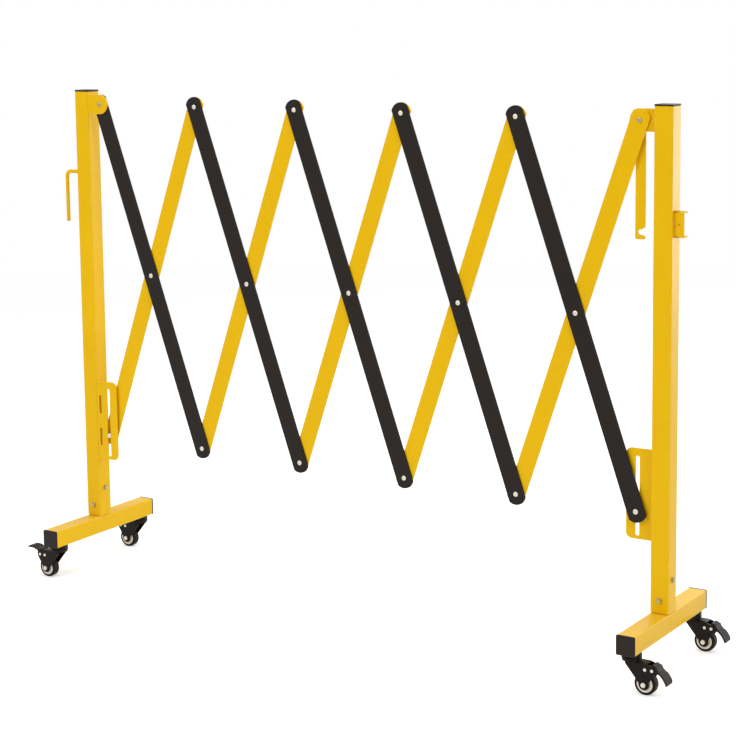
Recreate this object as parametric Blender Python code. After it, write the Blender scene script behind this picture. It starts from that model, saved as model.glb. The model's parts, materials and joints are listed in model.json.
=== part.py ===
"""Expanding scissor barricade on casters: two posts on cross beams, joined by a folding lattice of flat bars.

World frame: origin on the floor under the middle of the whole barricade, X along the lattice
from the left post to the right post, Y from the front to the rear, Z up.
"""

import math

import bmesh
import bpy
from mathutils import Matrix, Vector

# Whole barricade
beam_clear_height = 0.0706
crossing_count = 5
touch_gap = 0.0003
cut_overrun = 0.004

# Lattice bars, the angle that they lean from upright, and their foot's rise over the beams when closed
bar_pivot_length = 0.732
bar_width = 0.035
bar_thickness = 0.003
bar_overhang = 0.020
bar_end_radius_share = 0.6
rest_angle_deg = 19.24
closed_angle_deg = 3.05
open_angle_deg = 35.44
closed_foot_rise = 0.1384
pivot_clearance = 0.0003

# Posts and the spigots that they slip over
post_width = 0.035
post_wall = 0.0015
post_corner_radius = 0.0025
top_pivot_drop = 0.025
pivot_standoff = 0.0306
spigot_play = 0.0005
spigot_wall = 0.002
spigot_length = 0.085

# Cross beams, and how far in from their ends the casters stand
beam_width = 0.035
beam_wall = 0.002
beam_corner_radius = 0.0025
beam_span = 0.310
caster_inset = 0.027

# Plastic end caps of the tubes
cap_plate = 0.003
cap_overhang = 0.0004
cap_plug_depth = 0.012
cap_edge = 0.001

# Ears and slotted brackets on the inner faces of the posts
bracket_thickness = 0.003
ear_radius = 0.020
bracket_reach = 0.022
bracket_corner_radius = 0.011
bracket_top_margin = 0.014
bracket_bottom_margin = 0.006
bracket_flange_depth = 0.022
slot_end_play = 0.001

# Lattice rivets
rivet_radius = 0.003
rivet_head_radius = 0.0053
rivet_head_height = 0.0020
rivet_sink = 0.0008
head_crown_share = 0.66

# Pins at the posts
top_pin_radius = 0.004
slot_pin_radius = 0.0037
pin_head_radius = 0.0058

# Closing latch strap on the right top pin
strap_width = 0.019
strap_thickness = 0.003
strap_notch_play = 0.0006
strap_lip = 0.008
strap_mouth_flare = 0.003

# Coupling hook on the left post
hook_rod_radius = 0.004
hook_arm_drop = 0.167
hook_arm_length = 0.046
hook_leg_length = 0.105
hook_bend_radius = 0.010

# Coupling receiver on the right post
receiver_height = 0.045
receiver_top_drop = 0.009
receiver_reach = 0.0188
receiver_depth = 0.020
receiver_plate = 0.0025
receiver_hole_play = 0.001
receiver_pilot_radius = 0.0015
receiver_relief_height = 0.009
receiver_relief_depth = 0.003

# Bolts that hold the posts on the spigots, at shares of the spigot's length
front_bolt_share = 0.287
side_bolt_share = 0.71
bolt_radius = 0.003
bolt_head_radius = 0.0055
bolt_head_height = 0.0038
bolt_grip = 0.011

# Caster wheels
wheel_radius = 0.020
tyre_half_width = 0.0085
tyre_shoulder = 0.0035
tyre_bore_radius = 0.0152
hub_rim_width = 0.0026
hub_recess = 0.0035
hub_boss_radius = 0.0062
hub_web_half = 0.0025
axle_radius = 0.003
axle_head_radius = 0.0050
axle_head_height = 0.0034

# Caster forks and stems
caster_trail = 0.028
fork_inner_half = 0.010
fork_plate = 0.002
fork_crown = 0.0025
fork_head_radius = 0.0172
fork_boss_radius = 0.0095
fork_rivet_radius = 0.002
fork_rivet_head_radius = 0.0034
fork_rivet_head_height = 0.0014
race_radius = 0.0180
race_groove = 0.0016
race_thickness = 0.0110
stem_radius = 0.005
stem_length = 0.014
kingpin_radius = 0.004
kingpin_head_radius = 0.0062
kingpin_head_height = 0.0020

# Brake pedals
pedal_pivot_out = 0.043
pedal_pivot_up = 0.027
spacer_rivet_out = 0.030
pedal_travel_deg = 58.0
pedal_length = 0.034
pedal_rise = 0.0138
pedal_half_width = 0.013
pedal_plate = 0.0035
pedal_hub_radius = 0.005
pedal_tongue = 0.0094

# Steps of round shapes
wheel_steps = 24
round_steps = 16
pin_steps = 12
small_steps = 8
corner_steps = 2

# Fork side plate outline: shares of the trail, and of the rise from the axle to the crown
fork_front_shares = ((-0.27, 0.985), (1.10, 0.985), (1.42, 0.89), (1.66, 0.867), (1.80, 0.746),
                     (1.74, 0.58), (1.42, 0.22))
fork_back_shares = ((0.66, 0.144), (0.44, 0.326), (-0.27, 0.887))

# Brake pedal outlines: shares of the pedal length, and of its rise over the pivot
paddle_top_shares = ((-0.06, 0.90), (0.30, 0.93), (0.62, 1.00), (1.00, 0.97))
lever_shares = ((-0.06, 0.80), (0.40, 0.80))

# Places that follow from the sizes above
half_post = post_width / 2
post_offset = pivot_standoff + half_post
rest_angle = math.radians(rest_angle_deg)
closed_angle = math.radians(closed_angle_deg)
open_angle = math.radians(open_angle_deg)
pivot_spacing = bar_pivot_length * math.sin(rest_angle)
lattice_width = crossing_count * pivot_spacing
closed_width = crossing_count * bar_pivot_length * math.sin(closed_angle)
beam_top = beam_clear_height + beam_width
top_pivot_height = beam_top + closed_foot_rise + bar_pivot_length * math.cos(closed_angle)
post_top_height = top_pivot_height + top_pivot_drop
post_bottom = beam_top + touch_gap
front_bolt_height = beam_top + spigot_length * front_bolt_share
side_bolt_height = beam_top + spigot_length * side_bolt_share
caster_pitch = beam_span - 2 * caster_inset
hook_arm_height = post_top_height - hook_arm_drop
receiver_middle_height = hook_arm_height - hook_rod_radius - receiver_top_drop - receiver_height / 2

# Layers from the front face of the posts to the rear
front_layer = -half_post
black_front = front_layer + bracket_thickness + touch_gap
black_back = black_front + bar_thickness
yellow_front = black_back + touch_gap
yellow_back = yellow_front + bar_thickness
rear_layer = yellow_back + touch_gap
strap_front = rear_layer + bracket_thickness + touch_gap
strap_back = strap_front + strap_thickness


def foot_height(angle):
    """Height of the bottom pivots when the bars lean by the angle."""
    return top_pivot_height - bar_pivot_length * math.cos(angle)


def arc(centre, radius, start_deg, end_deg, steps):
    """Points along an arc, both ends included."""
    points = []
    for i in range(steps + 1):
        angle = math.radians(start_deg + (end_deg - start_deg) * i / steps)
        points.append((centre[0] + radius * math.cos(angle), centre[1] + radius * math.sin(angle)))
    return points


def circle(centre, radius, steps):
    """Points round a full circle."""
    return arc(centre, radius, 0, 360, steps)[:-1]


def rounded_rectangle(left, right, low, high, radius):
    """Rectangle with four round corners."""
    points = arc((right - radius, low + radius), radius, -90, 0, corner_steps)
    points += arc((right - radius, high - radius), radius, 0, 90, corner_steps)
    points += arc((left + radius, high - radius), radius, 90, 180, corner_steps)
    points += arc((left + radius, low + radius), radius, 180, 270, corner_steps)
    return points


def finished(bm):
    """Mesh from a bmesh, with its faces turned outward."""
    bmesh.ops.recalc_face_normals(bm, faces=bm.faces)
    mesh = bpy.data.meshes.new("shape")
    bm.to_mesh(mesh)
    bm.free()
    return mesh


def point_on(axis, u, v, along):
    """World order of a profile point and its place along the axis."""
    return {"X": (along, u, v), "Y": (u, along, v), "Z": (u, v, along)}[axis]


def extruded(outline, holes, axis, start, end):
    """Straight prism along an axis, with holes through it."""
    bm = bmesh.new()
    edges = []
    for loop in [outline] + holes:
        verts = [bm.verts.new(point_on(axis, u, v, start)) for u, v in loop]
        edges += [bm.edges.new((verts[i - 1], verts[i])) for i in range(len(verts))]
    bmesh.ops.triangle_fill(bm, use_beauty=True, use_dissolve=False, edges=edges)
    moved = bmesh.ops.extrude_face_region(bm, geom=bm.faces[:])["geom"]
    shift = point_on(axis, 0, 0, end - start)
    bmesh.ops.translate(bm, vec=shift, verts=[part for part in moved if isinstance(part, bmesh.types.BMVert)])
    return finished(bm)


def turned(profile, axis, steps, ring=False):
    """Turned solid from radius and height pairs; a ring's profile closes on itself."""
    bm = bmesh.new()
    rows = []
    for radius, height in profile:
        if radius == 0:
            rows.append([bm.verts.new((0, 0, height))] * steps)
            continue
        flat = circle((0, 0), radius, steps)
        rows.append([bm.verts.new((x, y, height)) for x, y in flat])
    pairs = list(zip(rows, rows[1:]))
    if ring:
        pairs.append((rows[-1], rows[0]))
    for lower, upper in pairs:
        for i in range(steps):
            corners = [lower[i - 1], lower[i], upper[i], upper[i - 1]]
            bm.faces.new(list(dict.fromkeys(corners)))
    turns = {"X": Matrix.Rotation(math.radians(90), 4, "Y"), "Y": Matrix.Rotation(math.radians(-90), 4, "X")}
    if axis in turns:
        bm.transform(turns[axis])
    return finished(bm)


def rod(axis, radius, start, end, steps, centre=(0, 0)):
    """Round rod along an axis, its centre given in the other two directions."""
    return extruded(circle(centre, radius, steps), [], axis, start, end)


def block(low, high):
    """Box between two corners."""
    outline = [(low[0], low[1]), (high[0], low[1]), (high[0], high[1]), (low[0], high[1])]
    return extruded(outline, [], "Z", low[2], high[2])


def combined(body, tools, operation):
    """Boolean of meshes that share one space, as a new mesh."""
    scene = bpy.context.scene.collection.objects
    helpers = [bpy.data.objects.new("helper", mesh) for mesh in [body] + tools]
    for helper in helpers:
        scene.link(helper)
    for tool in helpers[1:]:
        modifier = helpers[0].modifiers.new("Boolean", "BOOLEAN")
        modifier.object = tool
        modifier.operation = operation
        modifier.solver = "EXACT"
    graph = bpy.context.evaluated_depsgraph_get()
    result = bpy.data.meshes.new_from_object(helpers[0].evaluated_get(graph))
    for helper in helpers:
        bpy.data.objects.remove(helper)
    return result


def make_material(name, colour, roughness, metallic):
    """Principled material with one plain colour."""
    material = bpy.data.materials.new(name)
    material.use_nodes = True
    material.diffuse_color = (*colour, 1)
    shader = material.node_tree.nodes["Principled BSDF"]
    shader.inputs["Base Color"].default_value = (*colour, 1)
    shader.inputs["Roughness"].default_value = roughness
    shader.inputs["Metallic"].default_value = metallic
    return material


def anchor(name, location, parent=None, turn_deg=0):
    """Empty on a joint axis or at a frame's reference point."""
    empty = bpy.data.objects.new(name, None)
    bpy.context.scene.collection.objects.link(empty)
    empty.location = location
    empty.rotation_euler.z = math.radians(turn_deg)
    empty.parent = parent
    return empty


def place(name, mesh, material, parent, location=(0, 0, 0), lean=0, turn=0):
    """Named piece under its parent, leaned about Y and turned about Z."""
    shape = mesh.copy()
    shape.name = name
    shape.materials.clear()
    shape.materials.append(material)
    shape.shade_smooth()
    shape.set_sharp_from_angle(angle=math.radians(35))
    piece = bpy.data.objects.new(name, shape)
    bpy.context.scene.collection.objects.link(piece)
    piece.parent = parent
    piece.location = location
    piece.rotation_euler = (0, lean, turn)
    return piece


# Headed pins and rivets

def head_profile(radius, height, seat, side):
    """Domed head on a seat, from the axis outward; side is -1 to the front and 1 to the rear."""
    crown = seat + side * height
    return [(0, crown), (radius * head_crown_share, crown), (radius, seat)]


def headed_pin(head_radius, shank_radius, front, back, collar=None):
    """Pin along Y with a head at both ends, and a collar on the shank if it has one."""
    profile = head_profile(head_radius, rivet_head_height, front, -1) + [(shank_radius, front)]
    if collar:
        radius, start, end = collar
        profile += [(shank_radius, start), (radius, start), (radius, end), (shank_radius, end)]
    profile += [(shank_radius, back)] + head_profile(head_radius, rivet_head_height, back, 1)[::-1]
    return turned(profile, "Y", pin_steps)


def lattice_rivet(height):
    """Rivet that rises from a black bar, through the yellow bar, to a head behind it."""
    shape = headed_pin(rivet_head_radius, rivet_radius, black_front + rivet_sink, rear_layer)
    shape.transform(Matrix.Translation((0, 0, height)))
    return shape


# Lattice bars

def bar_plate(top, bottom, hole_radii, front, back):
    """Flat bar between two end pivots with its holes, radius 0 where it has none."""
    end_radius = bar_width * bar_end_radius_share
    half_angle = math.degrees(math.asin(bar_width / 2 / end_radius))
    outline = arc((0, top + bar_overhang - end_radius), end_radius, 90 - half_angle, 90 + half_angle, pin_steps // 2)
    outline += arc((0, bottom - bar_overhang + end_radius), end_radius, 270 - half_angle, 270 + half_angle,
                   pin_steps // 2)
    heights = (top, (top + bottom) / 2, bottom)
    holes = [circle((0, height), radius, pin_steps) for height, radius in zip(heights, hole_radii) if radius]
    return extruded(outline, holes, "Y", front, back)


def black_bar(index, material, parent):
    """Front bar that leans down to the right, carrying its own rivets."""
    top_hole = top_pin_radius + pivot_clearance if index == 1 else 0
    foot_hole = slot_pin_radius + pivot_clearance if index == crossing_count else 0
    plate = bar_plate(0, -bar_pivot_length, (top_hole, 0, foot_hole), black_front, black_back)
    rivets = [lattice_rivet(-bar_pivot_length / 2)]
    if not top_hole:
        rivets.append(lattice_rivet(0))
    if not foot_hole:
        rivets.append(lattice_rivet(-bar_pivot_length))
    pivot_x = (index - 1) * pivot_spacing
    return place("black_bar_%d" % index, combined(plate, rivets, "UNION"), material, parent,
                 (pivot_x, 0, top_pivot_height), lean=-rest_angle)


def yellow_bar(index, material, parent):
    """Rear bar that leans down to the left, with plain holes for the rivets and pins."""
    plain = rivet_radius + pivot_clearance
    top_hole = top_pin_radius + pivot_clearance if index == crossing_count else plain
    foot_hole = slot_pin_radius + pivot_clearance if index == 1 else plain
    half = bar_pivot_length / 2
    plate = bar_plate(half, -half, (top_hole, plain, foot_hole), yellow_front, yellow_back)
    middle_x = (index - 1 / 2) * pivot_spacing
    middle_z = top_pivot_height - half * math.cos(rest_angle)
    return place("yellow_bar_%d" % index, plate, material, parent, (middle_x, 0, middle_z), lean=rest_angle)


# Tubes, caps and bolts

def square_tube(width, wall, corner_radius, axis, start, end, middle=0):
    """Square tube along an axis, open at both ends; middle is its centre in the second direction."""
    half = width / 2
    inner = half - wall
    outline = rounded_rectangle(-half, half, middle - half, middle + half, corner_radius)
    bore = rounded_rectangle(-inner, inner, middle - inner, middle + inner, corner_radius / 2)
    return extruded(outline, [bore], axis, start, end)


def tube_cap(width, wall):
    """Plastic cap along Z: a plate with a softened rim over a plug that fits the tube."""
    rim = width / 2 + cap_overhang
    plug = width / 2 - wall - touch_gap
    foot = touch_gap
    top = foot + cap_plate
    plate = bmesh.new()
    rows = []
    for half, height in ((rim, foot), (rim, top - cap_edge), (rim - cap_edge, top)):
        loop = rounded_rectangle(-half, half, -half, half, post_corner_radius)
        rows.append([plate.verts.new((x, y, height)) for x, y in loop])
    for lower, upper in zip(rows, rows[1:]):
        for i in range(len(lower)):
            plate.faces.new((lower[i - 1], lower[i], upper[i], upper[i - 1]))
    plate.faces.new(rows[0])
    plate.faces.new(rows[-1])
    inner = rounded_rectangle(-plug, plug, -plug, plug, post_corner_radius / 2)
    stub = extruded(inner, [], "Z", -cap_plug_depth, foot + cap_plate / 2)
    return combined(finished(plate), [stub], "UNION")


def hex_head(radius, seat, height, side):
    """Six-sided bolt head or nut along Y on a seat; side is -1 to the front and 1 to the rear."""
    ends = sorted((seat, seat + side * height))
    return extruded(circle((0, 0), radius, 6), [], "Y", ends[0], ends[1])


def post_bolt():
    """Hex bolt along Y, its head's seat at the origin and its head to the front."""
    head = hex_head(bolt_head_radius, 0, bolt_head_height, -1)
    shank = rod("Y", bolt_radius, -bolt_head_height / 2, bolt_grip, pin_steps)
    return combined(head, [shank], "UNION")


def post_tube():
    """Post tube with its two bolt holes, standing on the beam."""
    tube = square_tube(post_width, post_wall, post_corner_radius, "Z", post_bottom, post_top_height)
    hole = bolt_radius + pivot_clearance
    front = rod("Y", hole, -half_post - cut_overrun, 0, pin_steps, (0, front_bolt_height))
    side = rod("X", hole, 0, half_post + cut_overrun, pin_steps, (0, side_bolt_height))
    return combined(tube, [front, side], "DIFFERENCE")


def base_beam():
    """Cross beam along Y with its welded spigot, bolt holes and caster stem holes."""
    beam_middle = beam_clear_height + beam_width / 2
    end = beam_span / 2 - cap_plate - touch_gap
    beam = square_tube(beam_width, beam_wall, beam_corner_radius, "Y", -end, end, beam_middle)
    spigot_width = post_width - 2 * (post_wall + spigot_play)
    spigot = square_tube(spigot_width, spigot_wall, post_corner_radius / 2, "Z", beam_top - beam_wall / 2,
                         beam_top + spigot_length)
    body = combined(beam, [spigot], "UNION")
    hole = bolt_radius + pivot_clearance
    cuts = [rod("Y", hole, -half_post - cut_overrun, 0, pin_steps, (0, front_bolt_height)),
            rod("X", hole, 0, half_post + cut_overrun, pin_steps, (0, side_bolt_height))]
    for side in (-1, 1):
        cuts.append(rod("Z", stem_radius + pivot_clearance, beam_clear_height - cut_overrun,
                        beam_clear_height + beam_width / 2, pin_steps, (0, side * caster_pitch / 2)))
    return combined(body, cuts, "DIFFERENCE")


# Fittings on the posts; side is 1 where the fitting reaches toward +X from its post, -1 toward -X

def top_ear(side, front):
    """Round-ended ear, welded by its edge to the post's inner face."""
    root = -side * (pivot_standoff - touch_gap)
    rim = arc((0, 0), ear_radius, -90, 90, pin_steps)
    outline = [(root, -ear_radius)] + [(side * x, z) for x, z in rim] + [(root, ear_radius)]
    hole = circle((0, 0), top_pin_radius + pivot_clearance, pin_steps)
    return extruded(outline, [hole], "Y", front, front + bracket_thickness)


def slot_bracket(side, front, flange_end):
    """Angle bracket: a web with the long slot for the sliding pin, and a flange along the post."""
    slot_half = slot_pin_radius + pivot_clearance
    slot_low = foot_height(closed_angle) - slot_end_play
    slot_high = foot_height(open_angle) + slot_end_play
    low = slot_low - slot_half - bracket_bottom_margin
    high = slot_high + slot_half + bracket_top_margin
    root = -side * (pivot_standoff - touch_gap)
    radius = bracket_corner_radius
    edge = bracket_reach - radius
    lower = arc((edge, low + radius), radius, -90, 0, corner_steps * 2)
    upper = arc((edge, high - radius), radius, 0, 90, corner_steps * 2)
    outline = [(root, low)] + [(side * x, z) for x, z in lower + upper] + [(root, high)]
    slot = arc((0, slot_high), slot_half, 0, 180, pin_steps // 2)
    slot += arc((0, slot_low), slot_half, 180, 360, pin_steps // 2)
    web = extruded(outline, [slot], "Y", front, front + bracket_thickness)
    inner = root + side * bracket_thickness
    ends = sorted((root, inner))
    depth = sorted((front + bracket_thickness / 2, flange_end))
    flange = block((ends[0], depth[0], low + bracket_thickness), (ends[1], depth[1], high - bracket_thickness))
    return combined(web, [flange], "UNION")


def coupling_hook():
    """Bent rod: an arm out from the post's outer face and a leg down; origin at the post's centre."""
    start = -half_post - touch_gap
    corner = start - hook_arm_length + hook_rod_radius
    low = hook_arm_height - hook_leg_length
    bend = arc((corner + hook_bend_radius, hook_arm_height - hook_bend_radius), hook_bend_radius, 90, 180,
               corner_steps * 2)
    path = [(start, hook_arm_height)] + bend + [(corner, low)]
    bm = bmesh.new()
    rings = []
    for i, (x, z) in enumerate(path):
        before = path[max(i - 1, 0)]
        after = path[min(i + 1, len(path) - 1)]
        run = Vector((after[0] - before[0], 0, after[1] - before[1])).normalized()
        across = Vector((run.z, 0, -run.x))
        ring = []
        for u, v in circle((0, 0), hook_rod_radius, pin_steps):
            ring.append(bm.verts.new(Vector((x, 0, z)) + across * u + Vector((0, v, 0))))
        rings.append(ring)
    for lower, upper in zip(rings, rings[1:]):
        for i in range(pin_steps):
            bm.faces.new((lower[i - 1], lower[i], upper[i], upper[i - 1]))
    bm.faces.new(rings[0])
    bm.faces.new(rings[-1])
    return finished(bm)


def coupling_receiver():
    """Bent channel on the post's outer face whose flanges take a neighbour's hook."""
    half = receiver_depth / 2
    low = receiver_middle_height - receiver_height / 2
    high = receiver_middle_height + receiver_height / 2
    root = half_post + touch_gap
    channel = [(-half, low), (half, low), (half, low + receiver_plate), (receiver_plate - half, low + receiver_plate),
               (receiver_plate - half, high - receiver_plate), (half, high - receiver_plate), (half, high),
               (-half, high)]
    body = extruded(channel, [], "X", root, root + receiver_reach)
    middle = root + receiver_reach / 2
    socket = rod("Z", hook_rod_radius + receiver_hole_play, low - cut_overrun, high + cut_overrun, round_steps,
                 (middle, 0))
    pilot = rod("Y", receiver_pilot_radius, -half - cut_overrun, 0, small_steps, (middle, receiver_middle_height))
    relief = block((root - cut_overrun, -half - cut_overrun, receiver_middle_height - receiver_relief_height / 2),
                   (root + receiver_relief_depth, receiver_plate, receiver_middle_height + receiver_relief_height / 2))
    return combined(body, [socket, pilot, relief], "DIFFERENCE")


def latch_strap():
    """Flat strap that hangs from the right top pin, notched to hook over the left top pin."""
    half = strap_width / 2
    seat = top_pin_radius + strap_notch_play
    end = -closed_width - seat - strap_lip
    corner = strap_lip / 2
    outline = arc((0, 0), half, 0, 180, pin_steps // 2)
    outline += [(-half, end)]
    outline += arc((half - corner, end + corner), corner, -90, 0, corner_steps)
    outline += [(half, -closed_width - seat)]
    outline += arc((0, -closed_width), seat, 270, 90, pin_steps // 2)
    outline += [(half - strap_mouth_flare, -closed_width + seat), (half, -closed_width + seat + strap_mouth_flare)]
    hole = circle((0, 0), top_pin_radius + pivot_clearance, pin_steps)
    return extruded(outline, [hole], "Y", strap_front, strap_back)


# Casters: origin on the stem's axis at the floor, the wheel trailing toward +X

axle_height = wheel_radius
race_top = beam_clear_height - touch_gap
race_bottom = race_top - race_thickness
race_middle = race_top - race_thickness / 2
crown_top = race_bottom - touch_gap
crown_bottom = crown_top - fork_crown
fork_rise = crown_top - axle_height
fork_outer_half = fork_inner_half + fork_plate


def caster_stem():
    """Threaded stem into the beam, with its two-ring race and the kingpin that carries the fork."""
    head_top = crown_bottom - touch_gap
    head_bottom = head_top - kingpin_head_height
    profile = [(0, head_bottom), (kingpin_head_radius, head_bottom), (kingpin_head_radius, head_top),
               (kingpin_radius, head_top), (kingpin_radius, race_bottom), (race_radius, race_bottom),
               (race_radius, race_middle - race_groove / 2), (race_radius - race_groove, race_middle),
               (race_radius, race_middle + race_groove / 2), (race_radius, race_top), (stem_radius, race_top),
               (stem_radius, race_top + stem_length), (0, race_top + stem_length)]
    return turned(profile, "Z", round_steps)


def fork_rivet(out, up):
    """Rivet across the fork, with a flat head on each side plate."""
    seat = fork_outer_half - fork_plate / 4
    end = fork_outer_half + fork_rivet_head_height
    profile = [(0, -end), (fork_rivet_head_radius, -end), (fork_rivet_head_radius, -seat),
               (fork_rivet_radius, -seat), (fork_rivet_radius, seat), (fork_rivet_head_radius, seat),
               (fork_rivet_head_radius, end), (0, end)]
    shape = turned(profile, "Y", small_steps)
    shape.transform(Matrix.Translation((out, 0, axle_height + up)))
    return shape


def caster_fork():
    """Pressed fork: two side plates under a round crown, with the brake's rivets."""
    front = [(x * caster_trail, axle_height + z * fork_rise) for x, z in fork_front_shares]
    back = [(x * caster_trail, axle_height + z * fork_rise) for x, z in fork_back_shares]
    boss = arc((caster_trail, axle_height), fork_boss_radius, 20, -190, pin_steps)
    body = extruded(front + boss + back, [], "Y", -fork_outer_half, fork_outer_half)
    reach = 2 * caster_trail
    hollow = block((-reach, -fork_inner_half, -cut_overrun), (reach, fork_inner_half, crown_bottom))
    body = combined(body, [hollow], "DIFFERENCE")
    crown = rod("Z", fork_head_radius, crown_bottom + fork_crown / 4, crown_top, wheel_steps)
    body = combined(body, [crown, fork_rivet(spacer_rivet_out, pedal_pivot_up),
                           fork_rivet(pedal_pivot_out, pedal_pivot_up)], "UNION")
    bore = rod("Z", kingpin_radius + pivot_clearance, axle_height, crown_top + cut_overrun, pin_steps)
    axle = rod("Y", axle_radius + pivot_clearance, -fork_outer_half - cut_overrun, fork_outer_half + cut_overrun,
               pin_steps, (caster_trail, axle_height))
    return combined(body, [bore, axle], "DIFFERENCE")


def caster_tyre():
    """Tyre ring along Y, its tread rounded into the sides."""
    tread = tyre_half_width - tyre_shoulder
    mid = tyre_shoulder / 3
    profile = [(tyre_bore_radius, -tyre_half_width), (wheel_radius - tyre_shoulder, -tyre_half_width),
               (wheel_radius - mid, -tread - mid), (wheel_radius, -tread), (wheel_radius, tread),
               (wheel_radius - mid, tread + mid), (wheel_radius - tyre_shoulder, tyre_half_width),
               (tyre_bore_radius, tyre_half_width)]
    return turned(profile, "Y", wheel_steps, ring=True)


def caster_hub():
    """Hub along Y: a rim inside the tyre, a recessed web and a boss on the axle."""
    rim = tyre_bore_radius - touch_gap
    inner = rim - hub_rim_width
    side = tyre_half_width - touch_gap
    boss_end = fork_inner_half - touch_gap
    bore = axle_radius + pivot_clearance
    web = tyre_half_width - hub_recess
    half = [(bore, boss_end), (hub_boss_radius, boss_end), (hub_boss_radius, web), (inner, web), (inner, side),
            (rim, side)]
    profile = [(radius, -height) for radius, height in half] + half[::-1]
    return turned(profile, "Y", round_steps, ring=True)


def caster_axle():
    """Axle bolt along Y with its head in front and its nut behind."""
    seat = fork_outer_half + touch_gap
    shank = rod("Y", axle_radius, -seat - axle_head_height / 2, seat + axle_head_height / 2, pin_steps)
    ends = [hex_head(axle_head_radius, side * seat, axle_head_height, side) for side in (-1, 1)]
    return combined(shank, ends, "UNION")


def paddle_outline():
    """Nearly flat tread of the pedal in its released pose, from the pivot."""
    top = [(x * pedal_length, z * pedal_rise) for x, z in paddle_top_shares]
    return top + [(x, z - pedal_plate) for x, z in top[::-1]]


def brake_pedal():
    """Brake pedal on its pivot: a lever between the side plates, a tongue over the tyre and a wide tread."""
    half = fork_inner_half - touch_gap
    hub = arc((0, 0), pedal_hub_radius, 175, 230, corner_steps)
    tongue = arc((0, 0), pedal_tongue, 279, 296, 2)
    side = arc((0, 0), pedal_hub_radius, 320, 370, corner_steps)
    arm = [(x * pedal_length, z * pedal_rise) for x, z in lever_shares[::-1]]
    hole = circle((0, 0), fork_rivet_radius + pivot_clearance, pin_steps)
    lever = extruded(hub + tongue + side + arm, [hole], "Y", -half, half)
    paddle = extruded(paddle_outline(), [], "Y", -pedal_half_width, pedal_half_width)
    return combined(lever, [paddle], "UNION")


def pedal_reach(pressed_deg):
    """How far the pedal reaches out from the stem's axis when pressed by the angle."""
    angle = math.radians(pressed_deg)
    outs = [x * math.cos(angle) + z * math.sin(angle) for x, z in paddle_outline()]
    return pedal_pivot_out + max(outs)


def add_caster(name, frame, x, y, turn_deg, pressed_deg, shapes, looks):
    """One caster: its stem on the frame, and the fork, wheel and pedal under the swivel's axis."""
    place(name + "_stem", shapes["stem"], looks["zinc"], frame, (x, y, 0))
    swivel = anchor(name + "_swivel", (x, y, 0), frame, turn_deg)
    wheel_place = (caster_trail, 0, axle_height)
    place(name + "_fork", shapes["fork"], looks["black"], swivel)
    place(name + "_axle", shapes["axle"], looks["zinc"], swivel, wheel_place)
    place(name + "_tyre", shapes["tyre"], looks["tyre"], swivel, wheel_place)
    place(name + "_hub", shapes["hub"], looks["hub"], swivel, wheel_place)
    place(name + "_pedal", shapes["pedal"], looks["pedal"], swivel,
          (pedal_pivot_out, 0, axle_height + pedal_pivot_up), lean=math.radians(pressed_deg))


def add_end_frame(side, frame, post_x, shapes, looks):
    """Post, beam, caps, bolts and casters of one end; side is "left" or "right"."""
    turn = 180 if side == "left" else 0
    pressed = 0 if side == "left" else pedal_travel_deg
    place(side + "_post", shapes["post"], looks["yellow"], frame, (post_x, 0, 0))
    place(side + "_base", shapes["base"], looks["yellow"], frame, (post_x, 0, 0))
    place(side + "_post_cap", shapes["post_cap"], looks["cap"], frame, (post_x, 0, post_top_height))
    end = beam_span / 2 - cap_plate - touch_gap
    beam_middle = beam_clear_height + beam_width / 2
    for end_name, way in (("front", -1), ("rear", 1)):
        cap = place("%s_base_cap_%s" % (side, end_name), shapes["beam_cap"], looks["cap"], frame,
                    (post_x, way * end, beam_middle))
        cap.rotation_euler.x = math.radians(-90 * way)
        add_caster("%s_caster_%s" % (side, end_name), frame, post_x, way * caster_pitch / 2, turn, pressed,
                   shapes, looks)
    seat = half_post + touch_gap
    place(side + "_post_bolt_front", shapes["bolt"], looks["zinc"], frame, (post_x, -seat, front_bolt_height))
    place(side + "_post_bolt_side", shapes["bolt"], looks["zinc"], frame, (post_x + seat, 0, side_bolt_height),
          turn=math.radians(90))


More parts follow.
